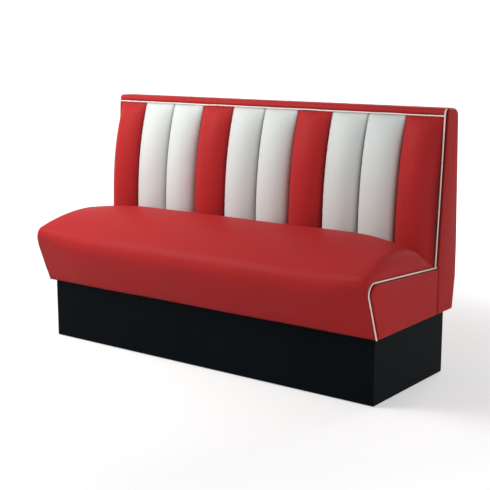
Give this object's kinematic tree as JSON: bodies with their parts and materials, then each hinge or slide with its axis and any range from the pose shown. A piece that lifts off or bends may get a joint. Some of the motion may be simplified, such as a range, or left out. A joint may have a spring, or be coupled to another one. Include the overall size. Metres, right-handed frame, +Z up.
{
  "type": "restaurant booth seating",
  "caption": "Diner booth bench: crowned vinyl seat and red and white channelled back with cream piping, on a black box plinth.",
  "frame": {"origin": "on the floor, under the middle of the bench's bounding box", "axes": "+X along the bench, to the right seen from in front; -Y the front, where the sitter's legs are; +Z up"},
  "size_m": [1.5, 0.61, 0.945],
  "materials": {
    "red_vinyl": "smooth semi-gloss upholstery vinyl, red",
    "white_vinyl": "smooth semi-gloss upholstery vinyl, white",
    "piping_vinyl": "glossy vinyl-covered cord, cream white",
    "black_laminate": "black melamine-faced board, satin",
    "frame_plywood": "raw birch plywood",
    "softwood": "planed softwood",
    "hardboard": "tempered hardboard",
    "foam": "cut upholstery foam",
    "felt": "pressed grey felt",
    "dust_cloth": "black spunbond cloth",
    "spring_steel": "oiled spring wire",
    "zinc_steel": "zinc-plated steel",
    "glide_plastic": "moulded polythene"
  },
  "bodies": {
    "root": {"back_channel_01_red": "red_vinyl", "back_channel_02_white": "white_vinyl", "back_channel_03_white": "white_vinyl", "back_channel_04_red": "red_vinyl", "back_channel_05_white": "white_vinyl", "back_channel_06_white": "white_vinyl", "back_channel_07_red": "red_vinyl", "back_channel_08_white": "white_vinyl", "back_channel_09_white": "white_vinyl", "back_channel_10_red": "red_vinyl", "back_channel_foam": "foam", "back_front_board": "frame_plywood", "back_gable_left": "frame_plywood", "back_gable_right": "frame_plywood", "back_low_rail": "softwood", "back_lower_board": "frame_plywood", "back_lumbar_rail": "softwood", "back_outside_cover": "red_vinyl", "back_piping_left": "piping_vinyl", "back_piping_right": "piping_vinyl", "back_rear_board": "hardboard", "back_rib_left": "frame_plywood", "back_rib_right": "frame_plywood", "back_side_panel_left": "red_vinyl", "back_side_panel_right": "red_vinyl", "back_top_band": "red_vinyl", "back_top_foam": "foam", "back_top_piping": "piping_vinyl", "back_top_rail": "softwood", "bolt_washers": "zinc_steel", "dust_cloths": "dust_cloth", "floor_glides": "glide_plastic", "joining_bolts": "zinc_steel", "plinth_back_board": "black_laminate", "plinth_battens": "softwood", "plinth_brace_left": "frame_plywood", "plinth_brace_right": "frame_plywood", "plinth_corner_blocks": "softwood", "plinth_front_board": "black_laminate", "plinth_left_board": "black_laminate", "plinth_right_board": "black_laminate", "seat_back_rail": "softwood", "seat_cover": "red_vinyl", "seat_cross_rail_left": "softwood", "seat_cross_rail_right": "softwood", "seat_foam": "foam", "seat_front_board": "frame_plywood", "seat_front_low_rail": "softwood", "seat_front_top_rail": "softwood", "seat_gable_left": "frame_plywood", "seat_gable_right": "frame_plywood", "seat_piping_left": "piping_vinyl", "seat_piping_right": "piping_vinyl", "seat_side_panel_left": "red_vinyl", "seat_side_panel_right": "red_vinyl", "seat_spring_felt": "felt", "seat_springs": "spring_steel", "spring_clips": "zinc_steel", "tee_nuts": "zinc_steel", "wood_screws": "zinc_steel"}
  },
  "joints": []
}
